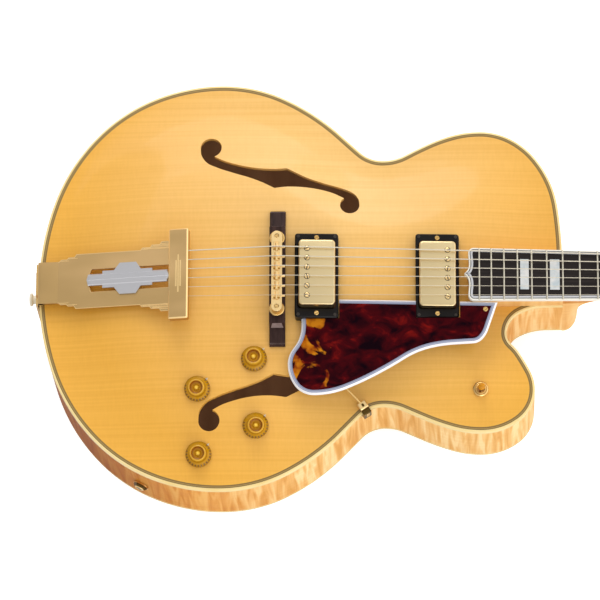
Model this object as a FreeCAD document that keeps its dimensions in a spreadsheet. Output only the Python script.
import FreeCAD, Part
import Sketcher
import math
import os
from FreeCAD import Placement, Rotation, Vector

# Archtop guitar with a cutaway, lying on its arched back.
# X runs along the neck to the headstock, Y to the bass side, Z out of the top.
# Shapes are drawn with X measured from the tail of the body and moved together by SHIFT.

os.makedirs("parts", exist_ok=True)
DOC = FreeCAD.newDocument("archtop_guitar")
SHEET = DOC.addObject("Spreadsheet::Sheet", "Sizes")

# Driving dimensions: name, value in millimetres or degrees
SIZES = [
    # body; the places of bouts and waist are distances back from the neck joint
    ("body_length", 533), ("lower_bout_half", 216), ("lower_bout_back", 347),
    ("waist_bass_half", 133), ("waist_treble_half", 128.5), ("waist_back", 182),
    ("upper_bout_half", 163.5), ("upper_bout_back", 83),
    ("horn_half", 157), ("horn_tip_back", 29.2), ("horn_tip_half", 112),
    ("cutaway_back", 57.2), ("cutaway_half", 53), ("flank_half", 24.3), ("flank_length", 16),
    ("rim_depth", 86), ("rim_wall", 2.6), ("top_arch", 21), ("back_arch", 17),
    ("top_thickness", 6), ("back_thickness", 5), ("arch_run", 90), ("edge_flat", 7),
    ("arch_grid", 22), ("seam_gap", 0.3), ("seat_gap", 0.25),
    ("binding_width", 2.2), ("purfling_width", 3.2), ("purfling_depth", 2),
    ("lining_width", 6), ("lining_height", 14), ("block_length", 45), ("block_half", 38),
    ("tone_bar_width", 8), ("tone_bar_height", 14), ("tone_bar_length", 330), ("tone_bar_half", 54),
    # sound holes, placed from the saddle line
    ("lobe_lower_radius", 10.8), ("lobe_upper_radius", 9.9),
    # neck
    ("scale_length", 647.7), ("neck_angle", 3.6), ("fret_plane_height", 29), ("glue_line", 0.05),
    ("board_thickness", 6), ("board_nut_width", 42), ("board_end_width", 55.4), ("board_overhang", 5.31),
    ("board_point", 9.7), ("board_corner", 5.6), ("board_point_half", 7), ("board_radius", 305),
    ("board_binding", 2.4), ("riser_inset", 2.5),
    ("fret_width", 2.4), ("fret_height", 1.1), ("marker_width", 32), ("marker_depth", 2.2),
    ("neck_depth_nut", 15), ("neck_depth_body", 18), ("heel_reach", 16.5), ("heel_cap_thickness", 3),
    ("tenon_half", 13), ("tenon_length", 24), ("nut_thickness", 5), ("nut_height", 2.6),
    ("rod_radius", 2.5), ("rod_clearance", 0.1), ("rod_depth", 12),
    # headstock and tuners
    ("head_angle", 14), ("head_length", 188), ("head_thickness", 15), ("veneer_thickness", 2),
    ("head_drop", 3), ("head_half", 41), ("tuner_first", 46), ("tuner_step", 39), ("tuner_half", 27),
    ("post_radius", 3), ("post_height", 14), ("running_clearance", 0.05), ("post_seat", 5),
    ("bushing_radius", 4.8), ("bushing_flange_radius", 7), ("bushing_flange", 1.8),
    ("case_width", 16), ("case_reach", 10), ("case_depth", 12), ("shaft_radius", 2), ("shaft_seat", 6),
    ("shaft_length", 13), ("button_length", 16), ("button_radius", 8.5), ("button_neck_radius", 3.2),
    ("button_flat", 3.6),
    ("cover_length", 34), ("cover_half", 10), ("cover_thickness", 1.6),
    # bridge
    ("bridge_width", 16), ("bridge_half", 71.7), ("bridge_end_top", 25), ("stud_gap", 11.5),
    ("wheel_radius", 7.5), ("wheel_thickness", 2.6), ("stud_radius", 2),
    ("stud_seat", 11), ("rail_width", 12), ("rail_end", 6.75), ("rail_height", 7), ("rail_lift", 2.4),
    ("trough_gap", 0.5), ("trough_depth", 5), ("saddle_length", 6), ("saddle_gap", 1.7),
    ("saddle_proud", 1.8), ("string_clearance", 2.65), ("string_pitch_bridge", 10.3), ("string_pitch_nut", 7),
    ("string_pitch_tail", 9.56), ("string_thick", 1.3), ("string_thin", 0.4),
    # pickups
    ("pickup_length", 37), ("pickup_width", 69), ("pickup_height", 26), ("pickup_window_gap", 0.6),
    ("ring_side", 3.5), ("ring_end", 10), ("bridge_pickup_at", 40.5), ("pickup_board_gap", 4.7),
    ("bridge_pickup_gap", 2.8), ("neck_pickup_gap", 3.05), ("bridge_ring_drop", 11.8),
    ("neck_ring_drop", 8.5), ("pole_radius", 2.4), ("pole_pitch", 9.9), ("pole_proud", 0.8),
    ("pole_seat", 6), ("pole_offset", 10),
    # guard
    ("guard_height", 25.5), ("guard_thickness", 3), ("guard_edging", 3.4), ("guard_gap", 0.8),
    ("guard_rod_radius", 1.6), ("guard_rod_at", 74), ("guard_rod_half", 100), ("guard_foot_at", 88.5),
    ("guard_foot_drop", 20), ("guard_foot", 10), ("guard_foot_height", 16), ("guard_foot_thickness", 2.4),
    # tailpiece
    ("tail_height", 10.5), ("tail_rise", 24.44), ("tail_plate", 2.5), ("tail_bar_gap", 88.66),
    ("tail_bar_width", 20), ("tail_bar_half", 47.5), ("tail_bar_height", 9), ("tail_window_half", 11.7),
    ("tail_insert_height", 2.4), ("hanger_thickness", 2), ("hanger_half", 22), ("hanger_drop", 58),
    ("hinge_radius", 3), ("hinge_pin_radius", 1.4), ("hinge_half", 12), ("hinge_gap", 0.3),
    # controls
    ("knob_radius", 13), ("knob_skirt", 4), ("knob_shoulder", 7.4), ("knob_shoulder_height", 6.6),
    ("knob_taper", 0.7), ("knob_height", 14), ("knob_rim", 0.9), ("knob_dish_depth", 0.8),
    ("knob_gap", 1.2), ("knob_roof", 2.3), ("knob_well", 4), ("knob_well_gap", 0.3),
    ("pot_shaft_radius", 3), ("pot_bush_radius", 4.7),
    ("pot_radius", 12), ("pot_height", 10), ("pot_nut_radius", 6.4), ("pot_nut_height", 0.9),
    ("pot_bush_drop", 1), ("pot_hole_gap", 0.2),
    ("switch_back", 83.8175), ("switch_half", 113), ("switch_bush_radius", 6), ("switch_nut_radius", 7.5),
    ("switch_nut", 2.4),
    ("switch_case_radius", 10), ("switch_case_depth", 22), ("lever_radius", 1.5), ("lever_rise", 5),
    ("ball_radius", 3.9), ("ball_gap", 0.1), ("tip_radius", 3.6), ("tip_length", 13),
    ("jack_bore", 3.25), ("jack_barrel", 5), ("jack_flange", 8), ("jack_flange_thickness", 2),
    ("jack_case", 7.5), ("jack_depth", 18), ("jack_drop", 43), ("jack_at", 104.5),
    ("button_drop", 43), ("strap_radius", 6.8), ("strap_waist", 4.4), ("strap_length", 13),
    ("strap_shank", 3.9), ("strap_shank_length", 20),
]
for row, (alias, amount) in enumerate(SIZES, 1):
    SHEET.set("A%d" % row, alias)
    SHEET.set("B%d" % row, str(amount))
    SHEET.setAlias("B%d" % row, alias)
DOC.recompute()


class Named:
    """The sheet's values as attributes."""


D = Named()
for alias, amount in SIZES:
    setattr(D, alias, float(SHEET.get(alias)))

# Levels and lines worked out from the driving dimensions
RIM_LOW = D.back_arch
RIM_TOP = D.back_arch + D.rim_depth
FRET_14 = D.scale_length * 2 ** (-14 / 12)
SADDLE_AT = D.body_length - FRET_14
NUT_AT = D.scale_length - FRET_14
SEAM_TOP = RIM_TOP - D.top_thickness - D.seam_gap
SEAM_LOW = RIM_LOW + D.back_thickness + D.seam_gap
BOARD_TOP = RIM_TOP + D.fret_plane_height - D.fret_height
LAST_FRET = 20
# Sound holes, controls and tone bars keep their places across the lower bout, drawn 432 wide
ACROSS = 2 * D.lower_bout_half / 432
BOARD_LENGTH = D.scale_length * (1 - 2 ** (-LAST_FRET / 12)) + D.board_overhang
STRING_HEIGHT = D.fret_plane_height + FRET_14 * math.tan(math.radians(D.neck_angle)) + D.string_clearance
BRIDGE_TOP = STRING_HEIGHT - D.saddle_proud - D.rail_height - D.wheel_thickness - D.rail_lift
STUD_HALF = 2.5 * D.string_pitch_bridge + D.stud_gap
RING_LENGTH = D.pickup_length + 2 * D.ring_side
RING_WIDTH = D.pickup_width + 2 * D.ring_end
NECK_PICKUP_AT = D.scale_length - BOARD_LENGTH - D.board_point - D.pickup_board_gap - RING_LENGTH / 2
TAIL_RUN = SADDLE_AT - D.tail_bar_gap - D.tail_bar_width
TAIL_BAR = math.hypot(TAIL_RUN, D.tail_rise)
TAIL_SLOPE = math.degrees(math.atan2(D.tail_rise, TAIL_RUN))

NECK = Placement(Vector(D.body_length, 0, BOARD_TOP), Rotation(Vector(0, 1, 0), D.neck_angle))
HEAD = NECK.multiply(Placement(Vector(NUT_AT + D.nut_thickness, 0, -D.head_drop),
                               Rotation(Vector(0, 1, 0), D.head_angle)))
TAIL = Placement(Vector(0, 0, RIM_TOP + D.tail_height), Rotation(Vector(0, 1, 0), -TAIL_SLOPE))
NUT_CREST = NECK.multVec(Vector(NUT_AT, 0, D.fret_height + 0.5))
CENTRE = (HEAD.multVec(Vector(D.head_length, 0, 0)).x - D.strap_length) / 2
SHIFT = Placement(Vector(-CENTRE, 0, 0), Rotation())
NODES = []


def node(obj, label):
    """Lists a document object as a sub-part; its label names the file."""
    obj.Label = label
    NODES.append(obj)
    return obj


def feature(label, shape):
    """A sub-part whose form no single feature gives, from a finished shape."""
    obj = DOC.addObject("Part::Feature", label)
    obj.Shape = shape
    obj.Placement = SHIFT.multiply(obj.Placement)
    return node(obj, label)


def terms(text):
    """Splits a sum of names and numbers into signed terms."""
    sign = 1
    for word in text.replace("+", " + ").replace("-", " - ").split():
        if word in "+-":
            sign = 1 if word == "+" else -1
        else:
            yield sign, word
            sign = 1


def amount_of(text):
    return sum(sign * (getattr(D, word) if word[0].isalpha() else float(word)) for sign, word in terms(text))


def bound(text):
    """The same sum as an expression on the sheet."""
    parts = []
    for sign, word in terms(text):
        parts.append("%s Sizes.%s" % ("+" if sign > 0 else "-", word) if word[0].isalpha()
                     else "%s %s" % ("+" if sign > 0 else "-", word))
    return " ".join(parts).lstrip("+ ")


def plane_of(body, role):
    return [part for part in body.Origin.OriginFeatures if part.Role == role][0]


def closed_sketch(body, plane, corners):
    """A closed chain of lines whose corners are held to the sheet by distances from the origin."""
    sketch = body.newObject("Sketcher::SketchObject", "Profile")
    sketch.AttachmentSupport = (plane_of(body, plane), [""])
    sketch.MapMode = "FlatFace"
    spots = [Vector(amount_of(a), amount_of(b), 0) for a, b in corners]
    count = len(spots)
    for i in range(count):
        sketch.addGeometry(Part.LineSegment(spots[i], spots[(i + 1) % count]), False)
    for i in range(count):
        sketch.addConstraint(Sketcher.Constraint("Coincident", i, 2, (i + 1) % count, 1))
    for i, corner in enumerate(corners):
        for axis, text in enumerate(corner):
            if text == "0":
                sketch.addConstraint(Sketcher.Constraint("PointOnObject", i, 1, -2 if axis == 0 else -1))
                continue
            kind = "DistanceX" if axis == 0 else "DistanceY"
            at = sketch.addConstraint(Sketcher.Constraint(kind, -1, 1, i, 1, amount_of(text)))
            sketch.setExpression("Constraints[%d]" % at, bound(text))
    return sketch


def turned(label, corners, place, listed=True):
    """A piece turned on its own Z axis from a half section (radius, height)."""
    body = DOC.addObject("PartDesign::Body", label)
    sketch = closed_sketch(body, "XZ_Plane", corners)
    spin = body.newObject("PartDesign::Revolution", "Turning")
    spin.Profile = sketch
    spin.ReferenceAxis = (sketch, ["V_Axis"])
    spin.Angle = 360
    body.Placement = SHIFT.multiply(place)
    DOC.recompute()
    return node(body, label) if listed else body


def block(label, length, width, height, place, soft=None, listed=True):
    """A padded rectangle centred on X and Y with its base on Z 0; soft rounds its upright edges."""
    body = DOC.addObject("PartDesign::Body", label)
    sketch = body.newObject("Sketcher::SketchObject", "Profile")
    sketch.AttachmentSupport = (plane_of(body, "XY_Plane"), [""])
    sketch.MapMode = "FlatFace"
    a, b = amount_of(length) / 2, amount_of(width) / 2
    spots = [Vector(-a, -b, 0), Vector(a, -b, 0), Vector(a, b, 0), Vector(-a, b, 0)]
    for i in range(4):
        sketch.addGeometry(Part.LineSegment(spots[i], spots[(i + 1) % 4]), False)
    for i in range(4):
        sketch.addConstraint(Sketcher.Constraint("Coincident", i, 2, (i + 1) % 4, 1))
        sketch.addConstraint(Sketcher.Constraint("Horizontal" if i % 2 == 0 else "Vertical", i))
    sketch.addConstraint(Sketcher.Constraint("Symmetric", 0, 1, 1, 2, -1, 1))
    for text, line, kind in ((length, 0, "DistanceX"), (width, 1, "DistanceY")):
        at = sketch.addConstraint(Sketcher.Constraint(kind, line, 1, line, 2, amount_of(text)))
        sketch.setExpression("Constraints[%d]" % at, bound(text))
    pad = body.newObject("PartDesign::Pad", "Pad")
    pad.Profile = sketch
    pad.setExpression("Length", bound(height))
    DOC.recompute()
    if soft:
        upright = ["Edge%d" % (i + 1) for i, edge in enumerate(pad.Shape.Edges)
                   if abs(edge.tangentAt(edge.FirstParameter).z) > 0.99]
        rounding = body.newObject("PartDesign::Fillet", "Rounding")
        rounding.Base = (pad, upright)
        rounding.Radius = soft
    body.Placement = SHIFT.multiply(place)
    DOC.recompute()
    return node(body, label) if listed else body


def group(label, masters):
    """Several solids that share one node."""
    obj = DOC.addObject("Part::Compound", label)
    obj.Links = masters
    DOC.recompute()
    return node(obj, label)


def turn(axis, angle, at=Vector()):
    return Placement(at, Rotation(axis, angle))


def arc(start, corner, end):
    """The circular arc whose end tangents meet at the corner."""
    chord = (start + end) * 0.5
    half = (end - start).Length / 2
    reach = (corner - start).Length
    if (corner - chord).Length < 1e-6:
        return Part.LineSegment(start, end).toShape()
    swing = math.acos(min(1, half / reach))
    rise = (corner - chord).normalize() * (half * math.tan(swing / 2))
    return Part.Arc(start, chord + rise, end).toShape()


def biarc(start, leave, end, arrive):
    """Two arcs that join two points with given directions."""
    run = end - start
    both = leave + arrive
    a = both.dot(both) - 4
    b = -2 * run.dot(both)
    c = run.dot(run)
    reach = -c / b if abs(a) < 1e-9 else (-b - math.sqrt(b * b - 4 * a * c)) / (2 * a)
    first = start + leave * reach
    last = end - arrive * reach
    middle = (first + last) * 0.5
    return [arc(start, first, middle), arc(middle, last, end)]


def flow(stations):
    """A chain of biarcs through stations (x, y, heading in degrees)."""
    edges = []
    for (x0, y0, a0), (x1, y1, a1) in zip(stations, stations[1:]):
        leave = Vector(math.cos(math.radians(a0)), math.sin(math.radians(a0)), 0)
        arrive = Vector(math.cos(math.radians(a1)), math.sin(math.radians(a1)), 0)
        edges += biarc(Vector(x0, y0, 0), leave, Vector(x1, y1, 0), arrive)
    return edges


def line(x0, y0, x1, y1):
    return Part.LineSegment(Vector(x0, y0, 0), Vector(x1, y1, 0)).toShape()


def closed(edges):
    return Part.Wire(Part.__sortEdges__(edges))


def polygon(spots):
    return Part.makePolygon([Vector(x, y, 0) for x, y in spots + spots[:1]])


def prism(wire, low, high):
    """A flat outline raised from one level to another."""
    face = Part.Face(wire)
    face.translate(Vector(0, 0, low))
    return face.extrude(Vector(0, 0, high - low))


def box(x0, x1, y0, y1, z0, z1):
    return Part.makeBox(x1 - x0, y1 - y0, z1 - z0, Vector(x0, y0, z0))


def placed(shape, place):
    copy = shape.copy()
    copy.Placement = place.multiply(copy.Placement)
    return copy


def between(p, q, along, across, heading):
    """A station part of the way from one extreme of the outline to the next."""
    return (p[0] + (q[0] - p[0]) * along, p[1] + (q[1] - p[1]) * across, heading)


def body_outline():
    """The body seen from above: bass side out from the tail, cutaway and treble side back."""
    low_at = D.body_length - D.lower_bout_back
    waist_at = D.body_length - D.waist_back
    high_at = D.body_length - D.upper_bout_back
    tail = (0, 0, 90)
    bass_low = (low_at, D.lower_bout_half, 0)
    bass_waist = (waist_at, D.waist_bass_half, 0)
    bass_high = (high_at, D.upper_bout_half, 0)
    shoulder = (D.body_length, D.flank_half, -90)
    flank = (D.body_length - D.flank_length, -D.flank_half, 180)
    bay = (D.body_length - D.cutaway_back, -D.cutaway_half, 270)
    tip = (D.body_length - D.horn_tip_back, -D.horn_tip_half, 270)
    horn = (high_at, -D.horn_half, 180)
    treble_waist = (waist_at, -D.waist_treble_half, 180)
    treble_low = (low_at, -D.lower_bout_half, 180)
    bass = flow([tail, between(tail, bass_low, 0.32, 0.757, 46), bass_low,
                 between(bass_low, bass_waist, 0.742, 0.67, -44), bass_waist,
                 between(bass_waist, bass_high, 0.444, 0.545, 25.5), bass_high,
                 between(bass_high, shoulder, 0.69, 0.215, -52.5), shoulder])
    treble = flow([flank, bay, between(bay, tip, 0.482, 0.373, 302), tip, horn,
                   between(horn, treble_waist, 0.6, 0.54, 156), treble_waist,
                   between(treble_waist, treble_low, 0.258, 0.34, 226), treble_low,
                   between(treble_low, tail, 0.68, 0.243, 134), tail])
    neck_end = [line(D.body_length, D.flank_half, D.body_length, -D.flank_half),
                line(D.body_length, -D.flank_half, D.body_length - D.flank_length, -D.flank_half)]
    return closed(bass + neck_end + treble)


OUTLINE = body_outline()
RING_SPOTS = OUTLINE.discretize(Distance=4)


def inset(distance):
    return OUTLINE.makeOffset2D(-distance, 0)


def inside(x, y):
    """True where a point lies within the body outline."""
    hit = False
    for p, q in zip(RING_SPOTS, RING_SPOTS[1:]):
        if (p.y > y) != (q.y > y) and x < p.x + (q.x - p.x) * (y - p.y) / (q.y - p.y):
            hit = not hit
    return hit


def edge_reach(x, y):
    """A smooth distance to the outline: the boundary's inverse fourth powers added up."""
    total = 0
    for p, q in zip(RING_SPOTS, RING_SPOTS[1:]):
        total += (q - p).Length / max(0.01, ((x - p.x) ** 2 + (y - p.y) ** 2) ** 2)
    return (total * 2 / math.pi) ** (-1 / 3)


def swell(x, y):
    """Arch height as a share of the crown: a broad dome that runs out flat before the edge."""
    if not inside(x, y):
        return 0
    rise = min(1, max(0, (edge_reach(x, y) - D.edge_flat) / D.arch_run))
    ends = SADDLE_AT if x < SADDLE_AT else D.body_length - SADDLE_AT
    dome = 1 - 0.35 * ((x - SADDLE_AT) / ends) ** 2 - 0.7 * (y / D.lower_bout_half) ** 2
    return dome * rise * rise * (3 - 2 * rise)


def grid_lines(low, high):
    """Evenly spaced lines across a span and one step past each end of it."""
    count = round((high - low) / D.arch_grid)
    step = (high - low) / count
    return [low + i * step for i in range(-1, count + 2)]


GRID_X = grid_lines(0, D.body_length)
GRID_Y = grid_lines(-D.lower_bout_half, D.lower_bout_half)
SWELL = [[swell(x, y) for y in GRID_Y] for x in GRID_X]


def arched_face(level, height):
    """The carved surface as a smooth patch through a grid of heights."""
    patch = Part.BSplineSurface()
    patch.interpolate([[Vector(x, y, level + height * s) for y, s in zip(GRID_Y, row)]
                       for x, row in zip(GRID_X, SWELL)])
    return patch.toShape()


TOP_FACE = arched_face(RIM_TOP, D.top_arch)
BACK_FACE = arched_face(RIM_LOW, -D.back_arch)


def layer(face, start, thickness):
    """A slice of even thickness that follows a carved surface."""
    copy = face.copy()
    copy.translate(Vector(0, 0, start))
    return copy.extrude(Vector(0, 0, thickness))


def seated(shape):
    """Trims a piece that stands on the top to the carved surface, less a small gap."""
    slab = prism(OUTLINE, RIM_TOP - 60, RIM_TOP + D.seat_gap)
    return shape.cut(layer(TOP_FACE, D.seat_gap, -70)).cut(slab)


def surface_point(x, y):
    """Height and upward normal of the top at a spot."""
    probe = Part.LineSegment(Vector(x, y, RIM_TOP - 50), Vector(x, y, RIM_TOP + 80)).toShape()
    spot = TOP_FACE.distToShape(probe)[1][0][0]
    u, v = TOP_FACE.Surface.parameter(spot)
    normal = TOP_FACE.Surface.normal(u, v)
    return spot, normal if normal.z > 0 else normal * -1


def sound_hole(side):
    """The sound hole's outline as prisms: two lobes and a stem whose edges meet in two soft nicks."""
    side *= ACROSS

    def spline(spots):
        curve = Part.BSplineCurve()
        curve.interpolate([Vector(SADDLE_AT + x, y * side, 0) for x, y in spots])
        return curve.toShape()
    inner_nick, outer_nick = (-4, 98.6), (8.6, 121.9)
    inner_start, inner_end = (-80.05, 145), (66.9, 88.9)
    outer_start, outer_end = (-65.5, 135), (82.7, 81)
    inner = [[inner_start, (-79.2, 137), (-73.8, 128.2), (-61.3, 121.4), (-44.9, 115.4), (-28.4, 110),
              (-16.1, 104.9), inner_nick],
             [inner_nick, (8.4, 100.3), (24.7, 100.3), (40.9, 98.4), (57.2, 93.9), inner_end]]
    outer = [[outer_start, (-57.4, 130.6), (-45, 126.2), (-32.7, 123.1), (-16.3, 120.9), (-2, 120.8),
              outer_nick],
             [outer_nick, (16.3, 117.9), (28.6, 111.9), (44.9, 106.3), (61.2, 101.8), (69.4, 99.1),
              (77.6, 94.2), (81.6, 88.6), outer_end]]
    low, high = RIM_TOP - 30, RIM_TOP + 40
    edges = [spline(spots) for spots in inner + outer]
    for start, end in ((inner_start, outer_start), (inner_end, outer_end)):
        edges.append(line(SADDLE_AT + start[0], start[1] * side, SADDLE_AT + end[0], end[1] * side))
    stem = prism(closed(edges), low, high)
    lobes = [Part.makeCylinder(radius, high - low, Vector(SADDLE_AT + x, y * side, low))
             for x, y, radius in ((-69.3, 145.2, D.lobe_lower_radius), (72.8, 81, D.lobe_upper_radius))]
    return stem.fuse(lobes)


# Controls on the top: name, distance from the saddle line, offset from the centre line
KNOBS = [("neck_volume_knob", -23.6, -84), ("bridge_volume_knob", -80.8, -114),
         ("neck_tone_knob", -22.3, -150.5), ("bridge_tone_knob", -79.6, -179)]


def control_frame(x, y):
    """A frame on the top's surface whose Z is the surface's own normal."""
    spot, normal = surface_point(x, y)
    return Placement(spot, Rotation(Vector(0, 0, 1), normal))


KNOB_FRAMES = [control_frame(SADDLE_AT + dx, y * ACROSS) for name, dx, y in KNOBS]
SWITCH_FRAME = control_frame(D.body_length - D.switch_back, -D.switch_half)


def pickup_frame(at, gap):
    """A frame at the top centre of a pickup, a set gap below the strings."""
    fall = (RIM_TOP + STRING_HEIGHT - NUT_CREST.z) / (NUT_CREST.x - SADDLE_AT)
    top = Vector(SADDLE_AT + at, 0, RIM_TOP + STRING_HEIGHT - at * fall - gap)
    return Placement(top, Rotation(Vector(0, 1, 0), D.neck_angle))


# Pickups: name, frame, height above the ring's face, side of the pole screws
PICKUPS = [("bridge", pickup_frame(D.bridge_pickup_at, D.bridge_pickup_gap), D.bridge_ring_drop, -1),
           ("neck", pickup_frame(NECK_PICKUP_AT, D.neck_pickup_gap), D.neck_ring_drop, 1)]


def pickup_well(frame, depth):
    """The opening that a pickup stands in."""
    a = D.pickup_length / 2 + D.pickup_window_gap
    b = D.pickup_width / 2 + D.pickup_window_gap
    return placed(box(-a, a, -b, b, -depth, 20), frame)


def body_pieces():
    """Plates, bent sides, edging and the inner woodwork."""
    plate_wire = inset(D.binding_width)
    purfling_wire = inset(D.binding_width + D.purfling_width)
    cavity_wire = inset(D.rim_wall)
    lining_wire = inset(D.rim_wall + D.lining_width)

    top = layer(TOP_FACE, 0, -D.top_thickness).common(prism(plate_wire, RIM_TOP - 30, RIM_TOP + 60))
    groove = prism(plate_wire, RIM_TOP - D.purfling_depth, RIM_TOP + 5).cut(
        prism(purfling_wire, RIM_TOP - D.purfling_depth, RIM_TOP + 5))
    holes = [sound_hole(1), sound_hole(-1)]
    for name, frame, lift, way in PICKUPS:
        holes.append(pickup_well(frame, 60))
    for frame in KNOB_FRAMES:
        hole = Part.makeCylinder(D.pot_bush_radius + D.pot_hole_gap, 40, Vector(0, 0, -20))
        holes.append(placed(hole, frame))
    hole = Part.makeCylinder(D.switch_bush_radius + D.pot_hole_gap, 40, Vector(0, 0, -20))
    holes.append(placed(hole, SWITCH_FRAME))
    feature("top_plate", top.cut([groove] + holes))

    back = layer(BACK_FACE, 0, D.back_thickness).common(prism(plate_wire, -20, RIM_LOW + 30))
    feature("back_plate", back)

    def ring(outside, within, low, high):
        return prism(outside, low, high).cut(prism(within, low, high))
    feature("top_binding", ring(OUTLINE, plate_wire, SEAM_TOP, RIM_TOP))
    feature("top_purfling", ring(plate_wire, purfling_wire, RIM_TOP - D.purfling_depth, RIM_TOP))
    feature("back_binding", ring(OUTLINE, plate_wire, RIM_LOW, SEAM_LOW))

    jack_hole = placed(Part.makeCylinder(D.jack_barrel, 60, Vector(0, 0, -30)), JACK)
    pin_hole = Part.makeCylinder(D.strap_shank, 80, Vector(-20, 0, RIM_TOP - D.button_drop), Vector(1, 0, 0))
    slot = box(D.body_length - D.tenon_length - 20, D.body_length + 5, -D.tenon_half - D.glue_line,
               D.tenon_half + D.glue_line, SEAM_LOW, SEAM_TOP)
    sides = ring(OUTLINE, cavity_wire, SEAM_LOW, SEAM_TOP).cut([slot, jack_hole, pin_hole])
    far = 400
    feature("rim_bass", sides.common(box(-far, 2 * far, 0, far, 0, far)))
    feature("rim_treble", sides.common(box(-far, 2 * far, -far, 0, 0, far)))

    cavity = prism(cavity_wire, RIM_LOW - 25, RIM_TOP + 40)
    cavity = cavity.cut([layer(TOP_FACE, -D.top_thickness, 80), layer(BACK_FACE, D.back_thickness, -80)])
    neck_end = D.body_length - D.rim_wall
    neck_block = cavity.common(box(neck_end - D.block_length, neck_end, -D.block_half, D.block_half,
                                   -20, 200))
    mortise = box(D.body_length - D.tenon_length - D.glue_line, D.body_length, -D.tenon_half - D.glue_line,
                  D.tenon_half + D.glue_line, -20, 200)
    feature("neck_block", neck_block.cut(mortise))
    tail_end = D.rim_wall + D.block_length * 0.6
    tail_block = cavity.common(box(0, tail_end, -D.block_half, D.block_half, -20, 200))
    feature("tail_block", tail_block.cut(pin_hole))
    strips = []
    blocks = [box(neck_end - D.block_length, neck_end + 5, -D.block_half, D.block_half, 0, 200),
              box(-5, tail_end, -D.block_half, D.block_half, 0, 200)]
    for low, high in ((SEAM_TOP - D.lining_height, SEAM_TOP), (SEAM_LOW, SEAM_LOW + D.lining_height)):
        strips += ring(cavity_wire, lining_wire, low, high).cut(blocks).Solids
    feature("linings", Part.makeCompound(strips))
    bars = []
    under = layer(TOP_FACE, -D.top_thickness, -D.tone_bar_height)
    for side in (1, -1):
        plan = box(-D.tone_bar_length * 0.55, D.tone_bar_length * 0.45, -D.tone_bar_width / 2,
                   D.tone_bar_width / 2, 0, 200)
        bars.append(under.common(placed(plan, turn(Vector(0, 0, 1), -2 * side,
                                                   Vector(SADDLE_AT, side * ACROSS * D.tone_bar_half, 0)))))
    feature("tone_bars", Part.makeCompound([solid for bar in bars for solid in bar.Solids]))


def rim_frame(at, drop):
    """A frame on the treble side's outer face whose Z points out of the rim."""
    probe = Part.LineSegment(Vector(at, -5, 0), Vector(at, -400, 0)).toShape()
    spot = OUTLINE.distToShape(probe)[1][0][0]
    near = sorted(RING_SPOTS, key=lambda p: (p - spot).Length)[:2]
    along = (near[1] - near[0]).normalize()
    out = Vector(along.y, -along.x, 0)
    out = out if out.y < 0 else out * -1
    spot.z = RIM_TOP - drop
    return Placement(spot, Rotation(Vector(0, 0, 1), out))


JACK = rim_frame(D.jack_at, D.jack_drop)


def board_width(x):
    """Fingerboard width at a distance from the body joint along the neck."""
    return D.board_nut_width + (D.board_end_width - D.board_nut_width) * (NUT_AT - x) / BOARD_LENGTH


BOARD_END = NUT_AT - BOARD_LENGTH


def board_wire(inset_by):
    """The fingerboard from above: straight tapering sides, a round-cornered end and a small point."""
    half_nut = D.board_nut_width / 2 - inset_by
    half_end = D.board_end_width / 2 - inset_by
    end = BOARD_END - D.board_corner + inset_by
    start = end + D.board_corner - inset_by * 0.5
    point = BOARD_END - D.board_point + inset_by * 1.6
    edges = [line(NUT_AT, half_nut, start, half_end), line(NUT_AT, -half_nut, start, -half_end),
             line(NUT_AT, half_nut, NUT_AT, -half_nut)]
    for side in (1, -1):
        edges += flow([(start, half_end * side, 180),
                       (end, (half_end - D.board_corner) * side, 180 + 90 * side),
                       (end + 0.3, D.board_point_half * side, 180 + 80 * side),
                       (point, 0, 180 + 44 * side)])
    return closed(edges)


def board_round(extra, low):
    """The rounded playing surface as a long solid; extra raises it."""
    span = BOARD_LENGTH + 60
    tube = Part.makeCylinder(D.board_radius + extra, span, Vector(BOARD_END - 30, 0, -D.board_radius),
                             Vector(1, 0, 0))
    return tube.common(box(BOARD_END - 30, BOARD_END + span, -60, 60, low, 20))


def fret_at(number):
    """Distance of a fret from the body joint along the neck."""
    return NUT_AT - D.scale_length * (1 - 2 ** (-number / 12))


def fingerboard_pieces():
    playing = board_round(0, -D.board_thickness)
    inner = prism(board_wire(D.board_binding), -D.board_thickness, 5).common(playing)
    whole = prism(board_wire(0), -D.board_thickness, 5).common(playing)
    markers = []
    for number in (1, 3, 5, 7, 9, 12, 15, 17):
        gap = fret_at(number - 1) - fret_at(number)
        middle = fret_at(number) + gap / 2
        long = min(gap * 0.6, 17) / 2
        wide = min(D.marker_width, board_width(middle) - 4 * D.board_binding) / 2
        markers.append(box(middle - long, middle + long, -wide, wide, -D.marker_depth, 5))
    inlay = Part.makeCompound([mark.common(playing) for mark in markers])
    feature("fingerboard", placed(inner.cut(markers), NECK))
    feature("fingerboard_binding", placed(whole.cut(prism(board_wire(D.board_binding), -20, 20)), NECK))
    feature("position_markers", placed(inlay, NECK))
    crown = board_round(D.fret_height, -4).cut(board_round(0, -10))
    wires = []
    for number in range(1, LAST_FRET + 1):
        at = fret_at(number)
        wide = board_width(at) / 2 - 0.4
        wires += crown.common(box(at - D.fret_width / 2, at + D.fret_width / 2, -wide, wide, -4, 4)).Solids
    feature("frets", placed(Part.makeCompound(wires), NECK))
    nut = box(NUT_AT, NUT_AT + D.nut_thickness, -D.board_nut_width / 2, D.board_nut_width / 2,
              -D.board_thickness, 6)
    crest = Part.makeCylinder(D.board_radius + D.nut_height, 40, Vector(NUT_AT - 15, 0, -D.board_radius),
                              Vector(1, 0, 0))
    return placed(nut.common(crest), NECK)


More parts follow.
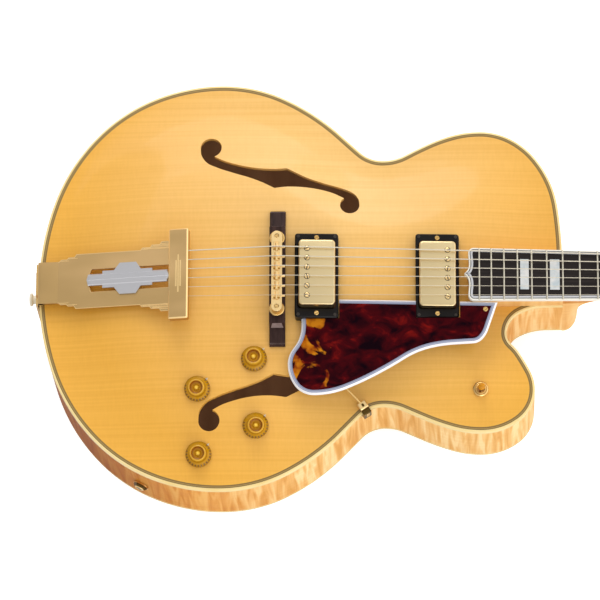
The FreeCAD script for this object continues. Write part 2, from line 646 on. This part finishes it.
def head_wire():
    """The headstock from above: waisted sides that widen to a low crown."""
    start = D.board_nut_width / 2 + 1
    edges = [line(0, start, 0, -start)]
    for side in (1, -1):
        edges += flow([(0, start * side, 12 * side), (34, (D.head_half - 7) * side, 16 * side),
                       (D.head_length - 40, D.head_half * side, 1 * side),
                       (D.head_length - 14, (D.head_half - 8) * side, -58 * side),
                       (D.head_length, 0, -90 * side)])
    return closed(edges)


def neck_section(x, depth):
    half = board_width(x) / 2
    low = -D.board_thickness
    left, right = Vector(x, half, low), Vector(x, -half, low)
    return Part.Wire([Part.Arc(left, Vector(x, 0, low - depth), right).toShape(),
                      Part.LineSegment(right, left).toShape()])


def heel_section(level, reach):
    """Half an oval standing out from the end of the body."""
    spots = []
    for i in range(9):
        angle = math.pi * (i / 8 - 0.5)
        out = reach * math.cos(angle) ** 0.8
        spots.append(Vector(D.body_length + out, D.flank_half * math.sin(angle), level))
    curve = Part.BSplineCurve()
    curve.interpolate(spots)
    return Part.Wire([curve.toShape(), Part.LineSegment(spots[-1], spots[0]).toShape()])


def tuner_frames():
    """One frame for each tuner, bass side first, with Y pointing out to its button."""
    frames = []
    for side in (1, -1):
        for i in range(3):
            row = i if side > 0 else 2 - i
            spot = Vector(D.tuner_first + D.tuner_step * row, side * D.tuner_half, 0)
            frames.append(HEAD.multiply(turn(Vector(0, 0, 1), 0 if side > 0 else 180, spot)))
    return frames


TUNERS = tuner_frames()


def neck_pieces():
    shaft = Part.makeLoft([neck_section(0, D.neck_depth_body), neck_section(NUT_AT + 16, D.neck_depth_nut)],
                          True, True)
    heel_low = RIM_LOW + D.heel_cap_thickness
    steps = [(heel_low, 1), (RIM_TOP - 58, 1.05), (RIM_TOP - 34, 1.24), (RIM_TOP - 14, 1.75),
             (RIM_TOP - 2, 2.6), (RIM_TOP + 7, 4)]
    heel = Part.makeLoft([heel_section(level, D.heel_reach * share) for level, share in steps], True, False)
    heel_cap = prism(Part.Wire(heel_section(0, D.heel_reach).Edges), RIM_LOW, heel_low)
    riser = placed(prism(board_wire(D.riser_inset), -40, -D.board_thickness), NECK)
    riser = riser.common(box(0, D.body_length, -60, 60, RIM_TOP - 20, RIM_TOP + 80))
    riser = seated(riser)
    riser = max(riser.Solids, key=lambda solid: solid.Volume)
    tenon = box(D.body_length - D.tenon_length, D.body_length, -D.tenon_half, D.tenon_half,
                SEAM_LOW + D.lining_height, SEAM_TOP)
    wood = placed(prism(head_wire(), -D.head_thickness, -D.veneer_thickness), HEAD)
    neck = placed(shaft, NECK).fuse([heel, riser, tenon, wood]).removeSplitter()
    channel = Part.makeCylinder(D.rod_radius + D.rod_clearance, NUT_AT + 8, Vector(12, 0, -D.rod_depth),
                                Vector(1, 0, 0))
    channel = placed(channel, NECK)
    pocket = placed(box(-2, 26, -5, 5, -13, 5), HEAD)
    face = placed(box(-2, D.head_length + 20, -80, 80, -D.veneer_thickness, 40), HEAD)
    nut_seat = placed(box(NUT_AT - 1, NUT_AT + D.nut_thickness, -40, 40, -D.board_thickness, 20), NECK)
    holes = [placed(Part.makeCylinder(D.bushing_radius, 60, Vector(0, 0, -30)), frame) for frame in TUNERS]
    neck = neck.cut([channel, pocket, face, nut_seat] + holes)
    feature("neck", max(neck.Solids, key=lambda solid: solid.Volume))
    feature("heel_cap", heel_cap)
    veneer = placed(prism(head_wire(), -D.veneer_thickness, 0), HEAD)
    feature("headstock_veneer", veneer.cut([pocket, nut_seat] + holes))


def hardware_on_neck():
    rod = DOC.addObject("Part::Cylinder", "truss_rod")
    rod.setExpression("Radius", "Sizes.rod_radius")
    rod.setExpression("Height", "Sizes.scale_length * (1 - 2 ^ (-14 / 12))")
    rod.Placement = SHIFT.multiply(NECK).multiply(turn(Vector(0, 1, 0), 90, Vector(14, 0, -D.rod_depth)))
    node(rod, "truss_rod")
    tip = HEAD.multiply(Placement(Vector(2 + D.cover_length / 2, 0, 0), Rotation()))
    block("truss_rod_cover", "cover_length", "cover_half + cover_half", "cover_thickness", tip, soft=4)
    housings = []
    bushings = []
    for i, frame in enumerate(TUNERS, 1):
        back = frame.multiply(Placement(Vector(0, 0, -D.head_thickness - D.case_depth), Rotation()))
        case = block("case_%d" % i, "case_width", "case_reach + case_reach", "case_depth", back, soft=3,
                     listed=False)
        wall = "post_radius + running_clearance"
        seat = turned("seat_%d" % i, [("0", "0"), (wall, "0"), (wall, "post_seat + 1"),
                                      ("0", "post_seat + 1")],
                      frame.multiply(Placement(Vector(0, 0, -D.head_thickness - D.post_seat), Rotation())),
                      listed=False)
        shaft_spot = Vector(0, D.case_reach - D.shaft_seat, -D.head_thickness - D.case_depth / 2 - 2)
        shaft_frame = frame.multiply(turn(Vector(1, 0, 0), -90, shaft_spot))
        snug = "shaft_radius + running_clearance"
        bore = turned("bore_%d" % i, [("0", "0"), (snug, "0"), (snug, "shaft_seat + 1"),
                                      ("0", "shaft_seat + 1")],
                      shaft_frame, listed=False)
        drilled = DOC.addObject("Part::Cut", "case_drilled_%d" % i)
        drilled.Base = case
        drilled.Tool = seat
        housing = DOC.addObject("Part::Cut", "housing_%d" % i)
        housing.Base = drilled
        housing.Tool = bore
        housings.append(housing)
        collar = [(wall, "0"), ("bushing_radius", "0"),
                  ("bushing_radius", "head_thickness"), ("bushing_flange_radius", "head_thickness"),
                  ("bushing_flange_radius", "head_thickness + bushing_flange"),
                  (wall, "head_thickness + bushing_flange")]
        bushings.append(turned("bushing_%d" % i, collar, frame.multiply(
            Placement(Vector(0, 0, -D.head_thickness), Rotation())), listed=False))
        top = "post_seat + head_thickness + post_height"
        post = [("0", "0"), ("post_radius", "0"), ("post_radius", top + " - 6"),
                ("post_radius - 0.5", top + " - 5"), ("post_radius - 0.5", top + " - 3"),
                ("post_radius", top + " - 2"), ("post_radius", top + " - 0.5"),
                ("post_radius - 0.5", top), ("0", top)]
        turned("tuner_post_%d" % i, post, frame.multiply(
            Placement(Vector(0, 0, -D.head_thickness - D.post_seat + D.running_clearance), Rotation())))
        start = "shaft_seat + shaft_length"
        button = [("0", "0"), ("shaft_radius", "0"), ("shaft_radius", start), ("button_neck_radius", start),
                  ("button_neck_radius", start + " + 2"), ("button_radius - 1.5", start + " + 4"),
                  ("button_radius", start + " + 7"), ("button_radius", start + " + button_length - 4"),
                  ("button_radius - 2", start + " + button_length - 1"),
                  ("button_radius - 5", start + " + button_length"), ("0", start + " + button_length")]
        at = shaft_frame.multiply(Placement(Vector(0, 0, D.running_clearance), Rotation()))
        round_button = turned("button_%d" % i, button, at, listed=False)
        cheeks = block("cheeks_%d" % i, "button_flat + button_flat", "button_radius + button_radius + 2",
                       start + " + button_length + 2", at, listed=False)
        oval = DOC.addObject("Part::Common", "tuner_button_%d" % i)
        oval.Base = round_button
        oval.Tool = cheeks
        node(oval, "tuner_button_%d" % i)
    group("tuner_housings", housings)
    group("tuner_bushings", bushings)


def string_radius(i):
    return (D.string_thick + (D.string_thin - D.string_thick) * i / 5) / 2


def saddle_top(i):
    """Where string i crosses its saddle, on the saddle's crest."""
    y = (2.5 - i) * D.string_pitch_bridge
    return Vector(SADDLE_AT, y, RIM_TOP + STRING_HEIGHT - y * y / (2 * D.board_radius))


def string_path(i):
    """Tailpiece, saddle, nut and tuner post, as the string's own centre line."""
    lift = Vector(0, 0, string_radius(i) + 0.02)
    tail = TAIL.multVec(Vector(TAIL_BAR + D.tail_bar_width - 6, 0, D.tail_bar_height / 2))
    tail.y = (2.5 - i) * D.string_pitch_tail
    y = (2.5 - i) * D.string_pitch_nut
    fall = y * y / (2 * D.board_radius)
    nut_near = NECK.multVec(Vector(NUT_AT, y, D.fret_height + 0.5 - fall))
    nut_far = NECK.multVec(Vector(NUT_AT + D.nut_thickness + 2.5, y, D.fret_height + 0.1 - fall))
    side = 1 if i < 3 else -1
    frame = TUNERS[i]
    end = frame.multVec(Vector(-D.post_radius * 0.8 * side, -D.post_radius * 0.95, D.post_height - 4))
    return [tail, saddle_top(i) + lift, nut_near + lift, nut_far + lift, end]


def rounded_path(spots, radius):
    """A chain of straight runs with its bends rounded."""
    edges = []
    start = spots[0]
    for before, corner, after in zip(spots, spots[1:], spots[2:]):
        a = (before - corner).normalize()
        b = (after - corner).normalize()
        turn_by = math.pi - math.acos(max(-1, min(1, a.dot(b))))
        cut = min(radius * math.tan(turn_by / 2), 2)
        p, q = corner + a * cut, corner + b * cut
        edges += [Part.LineSegment(start, p).toShape(), arc(p, corner, q)]
        start = q
    edges.append(Part.LineSegment(start, spots[-1]).toShape())
    return Part.Wire(edges)


def string_tube(i, extra=0):
    path = rounded_path(string_path(i), 12)
    start = path.Edges[0].Vertexes[0].Point
    along = path.Edges[0].tangentAt(path.Edges[0].FirstParameter)
    ring = Part.Wire(Part.Circle(start, along, string_radius(i) + extra).toShape())
    return path.makePipeShell([ring], True, False)


def strings_and_nut(nut):
    tubes = [string_tube(i) for i in range(6)]
    feature("strings", Part.makeCompound(tubes))
    for i in range(6):
        spots = string_path(i)
        way = (spots[3] - spots[2]).normalize()
        gap = string_radius(i) + D.running_clearance
        start = spots[2] - way * 3
        slot = Part.makeCylinder(gap, 14, start, way)
        open_top = placed(box(0, 14, -gap, gap, 0, 6), Placement(start, Rotation(Vector(1, 0, 0), way)))
        nut = nut.cut(slot.fuse(open_top))
    feature("nut", max(nut.Solids, key=lambda solid: solid.Volume))


def bridge_pieces():
    """Foot, studs, thumbwheels, rail and saddles, stacked from the top upward."""
    half, top, end = D.bridge_half, RIM_TOP + BRIDGE_TOP, RIM_TOP + D.bridge_end_top
    low = RIM_TOP - 5
    profile = [(-half, low), (half, low), (half, end - 1.5), (half - 2, end), (half - 10, end + 1),
               (half - 13, end + 4), (half - 19, end + 6), (half - 22, top - 1), (half - 24, top),
               (-half + 24, top), (-half + 22, top - 1), (-half + 19, end + 6), (-half + 13, end + 4),
               (-half + 10, end + 1), (-half + 2, end), (-half, end - 1.5)]
    wire = Part.makePolygon([Vector(0, y, z) for y, z in profile + profile[:1]])
    foot = Part.Face(wire).extrude(Vector(D.bridge_width, 0, 0))
    foot.translate(Vector(SADDLE_AT - D.bridge_width / 2, 0, 0))
    foot = seated(foot)
    studs = []
    stud_low = top - D.stud_seat
    rail_low = top + D.rail_lift + D.wheel_thickness
    for side in (1, -1):
        spot = Vector(SADDLE_AT, side * STUD_HALF, stud_low)
        foot = foot.cut(Part.makeCylinder(D.stud_radius, D.stud_seat + 5, spot))
        studs.append(turned("stud", [("0", "0"), ("stud_radius", "0"),
                                     ("stud_radius", "stud_seat + rail_lift + wheel_thickness + rail_height"),
                                     ("0", "stud_seat + rail_lift + wheel_thickness + rail_height")],
                            Placement(spot, Rotation()), listed=False))
        wall = "stud_radius + running_clearance"
        wheel = [(wall, "0"), ("wheel_radius - 0.5", "0"), ("wheel_radius", "0.5"),
                 ("wheel_radius", "wheel_thickness - 0.5"), ("wheel_radius - 0.5", "wheel_thickness"),
                 (wall, "wheel_thickness")]
        spot = Vector(SADDLE_AT, side * STUD_HALF, rail_low - D.wheel_thickness)
        turned("thumbwheel_bass" if side > 0 else "thumbwheel_treble", wheel, Placement(spot, Rotation()))
    feature("bridge_base", foot)
    group("bridge_studs", studs)
    round_end = D.rail_width / 2
    straight = STUD_HALF + D.rail_end - round_end
    rail = box(SADDLE_AT - round_end, SADDLE_AT + round_end, -straight, straight,
               rail_low, rail_low + D.rail_height)
    ends = [Part.makeCylinder(round_end, D.rail_height, Vector(SADDLE_AT, side * straight, rail_low))
            for side in (1, -1)]
    rail = rail.fuse(ends).removeSplitter()
    saddle_half = (D.string_pitch_bridge - D.saddle_gap) / 2
    trough_half = 2.5 * D.string_pitch_bridge + saddle_half + D.trough_gap
    trough_side = D.saddle_length / 2 + D.trough_gap
    floor = rail_low + D.rail_height - D.trough_depth
    trough = box(SADDLE_AT - trough_side, SADDLE_AT + trough_side, -trough_half, trough_half,
                 floor, floor + 20)
    bores = [Part.makeCylinder(D.stud_radius + D.running_clearance, 30,
                               Vector(SADDLE_AT, side * STUD_HALF, rail_low - 5)) for side in (1, -1)]
    feature("bridge_rail", rail.cut([trough] + bores))
    saddles = []
    for i in range(6):
        crest = saddle_top(i)
        a = D.saddle_length / 2
        side_view = [(crest.x - a, floor), (crest.x + a, floor), (crest.x + a, crest.z - 2.5),
                     (crest.x + 0.8, crest.z), (crest.x - 0.8, crest.z), (crest.x - a, crest.z - 2.5)]
        face = Part.Face(Part.makePolygon([Vector(x, crest.y - saddle_half, z)
                                           for x, z in side_view + side_view[:1]]))
        saddle = face.extrude(Vector(0, 2 * saddle_half, 0))
        saddles.append(saddle.cut(string_tube(i, 0.01)))
    feature("saddles", Part.makeCompound([solid for saddle in saddles for solid in saddle.Solids]))


def pickup_pieces():
    rings = []
    for name, frame, lift, way in PICKUPS:
        low = frame.multiply(Placement(Vector(0, 0, -D.pickup_height), Rotation()))
        can = block("can_" + name, "pickup_length", "pickup_width", "pickup_height", low, soft=3,
                    listed=False)
        poles = []
        crest = "pole_seat + pole_proud"
        pole = [("0", "0"), ("pole_radius", "0"), ("pole_radius", crest + " - 0.3"),
                ("pole_radius - 0.3", crest), ("0", crest)]
        for i in range(6):
            spot = Vector(way * D.pole_offset, (2.5 - i) * D.pole_pitch, -D.pole_seat)
            poles.append(turned("pole", pole, frame.multiply(Placement(spot, Rotation())), listed=False))
        drilled = DOC.addObject("Part::Cut", "can_drilled_" + name)
        drilled.Base = can
        bundle = DOC.addObject("Part::Compound", "poles_" + name)
        bundle.Links = poles
        drilled.Tool = bundle
        group(name + "_pickup", [drilled] + poles)
        a, b = RING_LENGTH / 2, RING_WIDTH / 2
        frame_top = frame.multiply(Placement(Vector(0, 0, -lift), Rotation()))
        collar = placed(box(-a, a, -b, b, -60, 0), frame_top)
        uprights = [edge for edge in collar.Edges if edge.Length > 59 and edge.Length < 61]
        collar = seated(collar.makeFillet(3, uprights).cut(pickup_well(frame, 90)))
        rings.append(max(collar.Solids, key=lambda solid: solid.Volume))
    feature("pickup_rings", Part.makeCompound(rings))


def guard_wire():
    """The finger guard from above, placed from the saddle line."""
    def spot(x, y, heading):
        return (SADDLE_AT + x, y, heading)
    edges = flow([spot(212.5, -57.5, 250), spot(197.5, -71.3, 183), spot(157.4, -75.2, 192),
                  spot(101.2, -103.2, 208.5), spot(37.1, -124.4, 180), spot(10.8, -92, 90), spot(24, -58, 82),
                  spot(21.5, -28.3, 95)])
    edges += [line(SADDLE_AT + 21.5, -28.3, SADDLE_AT + 222.4, -28.3),
              line(SADDLE_AT + 222.4, -28.3, SADDLE_AT + 212.5, -57.5)]
    return closed(edges)


def guard_pieces():
    """Floating finger guard, its edging and the rod that carries it from the rim."""
    low = RIM_TOP + D.guard_height
    high = low + D.guard_thickness
    outline = guard_wire()
    inner = outline.makeOffset2D(-D.guard_edging, 0)
    notches = []
    for name, frame, lift, way in PICKUPS:
        at = frame.Base.x
        a, b = RING_LENGTH / 2 + D.guard_gap, RING_WIDTH / 2 + D.guard_gap
        notches.append(box(at - a - 0.5, at + a + 0.5, -b, b, low - 5, high + 5))
    plate = prism(inner, low, high).cut(notches)
    edging = prism(outline, low, high).cut([prism(inner, low - 1, high + 1)] + notches)
    feature("guard", max(plate.Solids, key=lambda solid: solid.Volume))
    feature("guard_edging", Part.makeCompound(edging.Solids))
    r = D.guard_rod_radius
    start = Vector(SADDLE_AT + D.guard_rod_at, -D.guard_rod_half, low - r)
    outer = rim_frame(SADDLE_AT + D.guard_foot_at, D.guard_foot_drop)
    foot_spot = outer.multVec(Vector(0, 0, D.seat_gap + r))
    drop = Vector(foot_spot.x, foot_spot.y, low - r)
    path = rounded_path([start, drop, Vector(drop.x, drop.y, RIM_TOP - D.guard_foot_drop)], 5)
    ring = Part.Wire(Part.Circle(start, drop - start, r).toShape())
    rod = path.makePipeShell([ring], True, False)
    half = D.guard_foot / 2
    foot = Part.makeBox(D.guard_foot_height, D.guard_foot, D.guard_foot_thickness, Vector(0, -half, 0))
    level = outer.Rotation.inverted().multVec(Vector(0, 0, -1))
    spin = math.degrees(math.atan2(level.y, level.x))
    foot = placed(foot, outer.multiply(turn(Vector(0, 0, 1), spin)))
    room = prism(OUTLINE.makeOffset2D(D.seat_gap, 0), 0, RIM_TOP + D.seat_gap)
    feature("guard_bracket", rod.fuse(foot).cut(room).removeSplitter())


def tail_pieces():
    """Stepped tailpiece with its string bar, the loose centre insert and the hinged hanger."""
    # Steps of the plate: share of the way from the hinge to the bar, amount wider than the hanger
    shares = [(0.043, 0), (0.159, 0), (0.174, 2), (0.217, 2), (0.232, 4), (0.275, 4), (0.29, 7), (0.775, 7),
              (0.79, 9.5), (0.848, 9.5), (0.862, 12), (0.92, 12), (0.935, 15), (1.007, 15)]
    steps = [(share * TAIL_BAR, D.hanger_half + wider) for share, wider in shares]
    plate = prism(polygon(steps + [(x, -y) for x, y in reversed(steps)]), -D.tail_plate, 0)
    w = D.tail_window_half
    far, near, tip = 0.993 * TAIL_BAR, 0.406 * TAIL_BAR, 0.377 * TAIL_BAR
    window = [(tip, 0), (near, w), (far, w), (far, -w), (near, -w)]
    plate = plate.cut(prism(polygon(window), -20, 20))
    bar = box(TAIL_BAR, TAIL_BAR + D.tail_bar_width, -D.tail_bar_half, D.tail_bar_half,
              -D.tail_plate, D.tail_bar_height - D.tail_plate)
    crest = [edge for edge in bar.Edges if edge.Length > 90 and edge.BoundBox.ZMin > 0]
    bar = bar.makeFillet(3, crest)
    knuckles = []
    for side in (1, -1):
        start = D.hinge_half + D.hinge_gap if side > 0 else -D.hanger_half
        knuckles.append(Part.makeCylinder(D.hinge_radius, D.hanger_half - D.hinge_half - D.hinge_gap,
                                          Vector(3, start, -D.tail_plate / 2), Vector(0, 1, 0)))
    link = box(4, steps[0][0] + 2, -D.hanger_half, D.hanger_half, -D.tail_plate, 0)
    relief = Part.makeCylinder(D.hinge_radius + D.hinge_gap, 2 * D.hinge_half + 2 * D.hinge_gap,
                               Vector(3, -D.hinge_half - D.hinge_gap, -D.tail_plate / 2), Vector(0, 1, 0))
    frame = plate.fuse([bar, link]).cut(relief).fuse(knuckles).removeSplitter()
    pin_bore = Part.makeCylinder(D.hinge_pin_radius + D.running_clearance, 60,
                                 Vector(3, -30, -D.tail_plate / 2), Vector(0, 1, 0))
    frame = placed(frame.cut(pin_bore), TAIL)
    frame = frame.cut([string_tube(i, 0.1) for i in range(6)])
    feature("tailpiece", max(frame.Solids, key=lambda solid: solid.Volume))
    # Steps of the insert: share of the same way, amount wider than the window
    shares = [(0.384, -5.7), (0.493, -5.7), (0.493, -2.7), (0.58, -2.7), (0.623, 4.9), (0.746, 4.9),
              (0.783, -2.7), (0.87, -2.7), (0.87, -5.5), (0.985, -5.5)]
    steps = [(share * TAIL_BAR, w + wider) for share, wider in shares]
    insert = prism(polygon(steps + [(x, -y) for x, y in reversed(steps)]), 0, D.tail_insert_height)
    feature("tailpiece_insert", placed(insert, TAIL))
    axis = TAIL.multVec(Vector(3, 0, -D.tail_plate / 2))
    barrel = Part.makeCylinder(D.hinge_radius, 2 * D.hinge_half, Vector(axis.x, -D.hinge_half, axis.z),
                               Vector(0, 1, 0))
    neck_plate = box(-D.hanger_thickness, axis.x, -D.hinge_half, D.hinge_half,
                     axis.z - D.hinge_radius, axis.z)
    drop = RIM_TOP - D.hanger_drop
    sheet = box(-D.hanger_thickness, 0, -D.hanger_half, D.hanger_half, drop, axis.z - D.hinge_radius - 1)
    hanger = sheet.fuse([barrel, neck_plate, box(-D.hanger_thickness, 0, -D.hinge_half, D.hinge_half,
                                                drop, axis.z)]).removeSplitter()
    bore = Part.makeCylinder(D.hinge_pin_radius, 60, Vector(axis.x, -30, axis.z), Vector(0, 1, 0))
    shank = Part.makeCylinder(D.strap_shank, 80, Vector(-20, 0, RIM_TOP - D.button_drop), Vector(1, 0, 0))
    pin = Part.makeCylinder(D.hinge_pin_radius, 2 * D.hanger_half, Vector(axis.x, -D.hanger_half, axis.z),
                            Vector(0, 1, 0))
    hanger = hanger.cut([bore, shank])
    feature("tailpiece_hanger", Part.makeCompound([max(hanger.Solids, key=lambda solid: solid.Volume), pin]))
    axis_out = turn(Vector(0, 1, 0), -90, Vector(D.strap_shank_length, 0, RIM_TOP - D.button_drop))
    seat = "strap_shank_length + hanger_thickness"
    turned("strap_button", [("0", "0"), ("strap_shank", "0"), ("strap_shank", seat), ("strap_radius", seat),
                            ("strap_radius", seat + " + 1.5"), ("strap_waist", seat + " + 3.5"),
                            ("strap_waist", "strap_shank_length + strap_length - 4"),
                            ("strap_radius", "strap_shank_length + strap_length - 2.5"),
                            ("strap_radius", "strap_shank_length + strap_length - 1"),
                            ("strap_radius - 1.5", "strap_shank_length + strap_length"),
                            ("0", "strap_shank_length + strap_length")], axis_out)


def control_pieces():
    pots = []
    for (name, dx, y), frame in zip(KNOBS, KNOB_FRAMES):
        base = frame.multiply(Placement(Vector(0, 0, D.knob_gap), Rotation()))
        well = "pot_nut_radius + knob_well_gap"
        floor = "pot_nut_height + knob_well"
        roof = "knob_height - knob_dish_depth - knob_roof"
        crown = "knob_shoulder - knob_taper"
        dish = crown + " - 0.6 - knob_rim"
        knob = [("pot_shaft_radius", floor), (well, floor), (well, "0"), ("knob_radius", "0"),
                ("knob_radius", "1"), ("knob_radius - 0.8", "knob_skirt"),
                ("knob_shoulder + 1", "knob_shoulder_height"),
                ("knob_shoulder", "knob_shoulder_height + 1.2"), (crown, "knob_height - 0.6"),
                (crown + " - 0.6", "knob_height"), (dish, "knob_height"),
                (dish, "knob_height - knob_dish_depth"), ("0", "knob_height - knob_dish_depth"),
                ("0", roof), ("pot_shaft_radius", roof)]
        shell = turned("shell_" + name, knob, base, listed=False)
        sunk = -D.top_thickness - D.pot_bush_drop - D.pot_height
        stem_low = frame.multiply(Placement(Vector(0, 0, sunk + 2), Rotation()))
        stem_top = "top_thickness + pot_bush_drop + pot_height - 2 + knob_gap + " + roof
        stem = turned("stem_" + name, [("0", "0"), ("pot_shaft_radius", "0"), ("pot_shaft_radius", stem_top),
                                       ("0", stem_top)], stem_low, listed=False)
        group(name, [shell, stem])
        low = frame.multiply(Placement(Vector(0, 0, sunk), Rotation()))
        wall = "pot_shaft_radius + running_clearance"
        rise = "pot_height + pot_bush_drop + top_thickness + 0.3"
        pots.append(turned("pot", [("0", "0"), ("pot_radius", "0"), ("pot_radius", "pot_height"),
                                   ("pot_bush_radius", "pot_height"), ("pot_bush_radius", rise),
                                   ("pot_nut_radius", rise), ("pot_nut_radius", rise + " + pot_nut_height"),
                                   (wall, rise + " + pot_nut_height"), (wall, "1.9"), ("0", "1.9")],
                           low, listed=False))
    group("potentiometers", pots)
    sunk = -D.top_thickness - D.switch_case_depth
    low = SWITCH_FRAME.multiply(Placement(Vector(0, 0, sunk), Rotation()))
    rise = "switch_case_depth + top_thickness"
    bore = "ball_radius + ball_gap"
    turned("switch_case", [("0", "0"), ("switch_case_radius", "0"),
                           ("switch_case_radius", "switch_case_depth - 1"),
                           ("switch_bush_radius", "switch_case_depth - 1"),
                           ("switch_bush_radius", rise + " + 0.3"), ("switch_nut_radius", rise + " + 0.3"),
                           ("switch_nut_radius", rise + " + switch_nut"),
                           ("switch_nut_radius - 1", rise + " + switch_nut + 0.8"),
                           (bore, rise + " + switch_nut + 0.8"), (bore, "switch_case_depth - 6"),
                           ("0", "switch_case_depth - 6")], low)
    pivot = SWITCH_FRAME.multiply(Placement(Vector(0, 0, -D.top_thickness), Rotation()))
    ball = DOC.addObject("Part::Sphere", "lever_ball")
    ball.setExpression("Radius", "Sizes.ball_radius")
    ball.Placement = SHIFT.multiply(pivot)
    rod_top = "top_thickness + switch_nut + lever_rise"
    shank = turned("lever_shank", [("0", "0"), ("lever_radius", "0"), ("lever_radius", rod_top),
                                   ("0", rod_top)], pivot, listed=False)
    rod = DOC.addObject("Part::MultiFuse", "lever_rod")
    rod.Shapes = [ball, shank]
    tip_low = SWITCH_FRAME.multiply(Placement(Vector(0, 0, D.switch_nut + D.lever_rise), Rotation()))
    tip = turned("lever_tip", [("0", "0"), ("lever_radius + 0.6", "0"), ("tip_radius", "tip_length - 4"),
                               ("tip_radius - 0.4", "tip_length - 1.5"), ("tip_radius - 1.8", "tip_length"),
                               ("0", "tip_length")], tip_low, listed=False)
    group("switch_lever", [rod, tip])
    inner = JACK.multiply(Placement(Vector(0, 0, -D.rim_wall - D.jack_depth), Rotation()))
    deep = "jack_depth + rim_wall"
    turned("output_jack", [("jack_bore", "0"), ("jack_case", "0"), ("jack_case", "jack_depth - 0.5"),
                           ("jack_barrel", "jack_depth - 0.5"), ("jack_barrel", deep + " + 0.25"),
                           ("jack_flange", deep + " + 0.25"),
                           ("jack_flange", deep + " + 0.25 + jack_flange_thickness"),
                           ("jack_bore", deep + " + 0.25 + jack_flange_thickness")], inner)


body_pieces()
nut_blank = fingerboard_pieces()
neck_pieces()
hardware_on_neck()
strings_and_nut(nut_blank)
bridge_pieces()
pickup_pieces()
guard_pieces()
tail_pieces()
control_pieces()

DOC.recompute()
for obj in DOC.Objects:
    if "Invalid" in obj.State or "Error" in obj.State:
        raise ValueError("failed feature: " + obj.Label)
triangles = 0
for obj in NODES:
    shape = obj.Shape
    if shape.isNull() or not shape.isValid():
        raise ValueError("bad shape: " + obj.Label)
    shape.exportStep("parts/" + obj.Label + ".step")
    facets = len(shape.tessellate(0.3)[1])
    triangles += facets
    extent = shape.BoundBox
    print("%-22s solids %2d volume %10.0f facets %5d z %.1f to %.1f" % (
        obj.Label, len(shape.Solids), shape.Volume, facets, extent.ZMin, extent.ZMax))
print("nodes", len(NODES), "triangles", triangles)
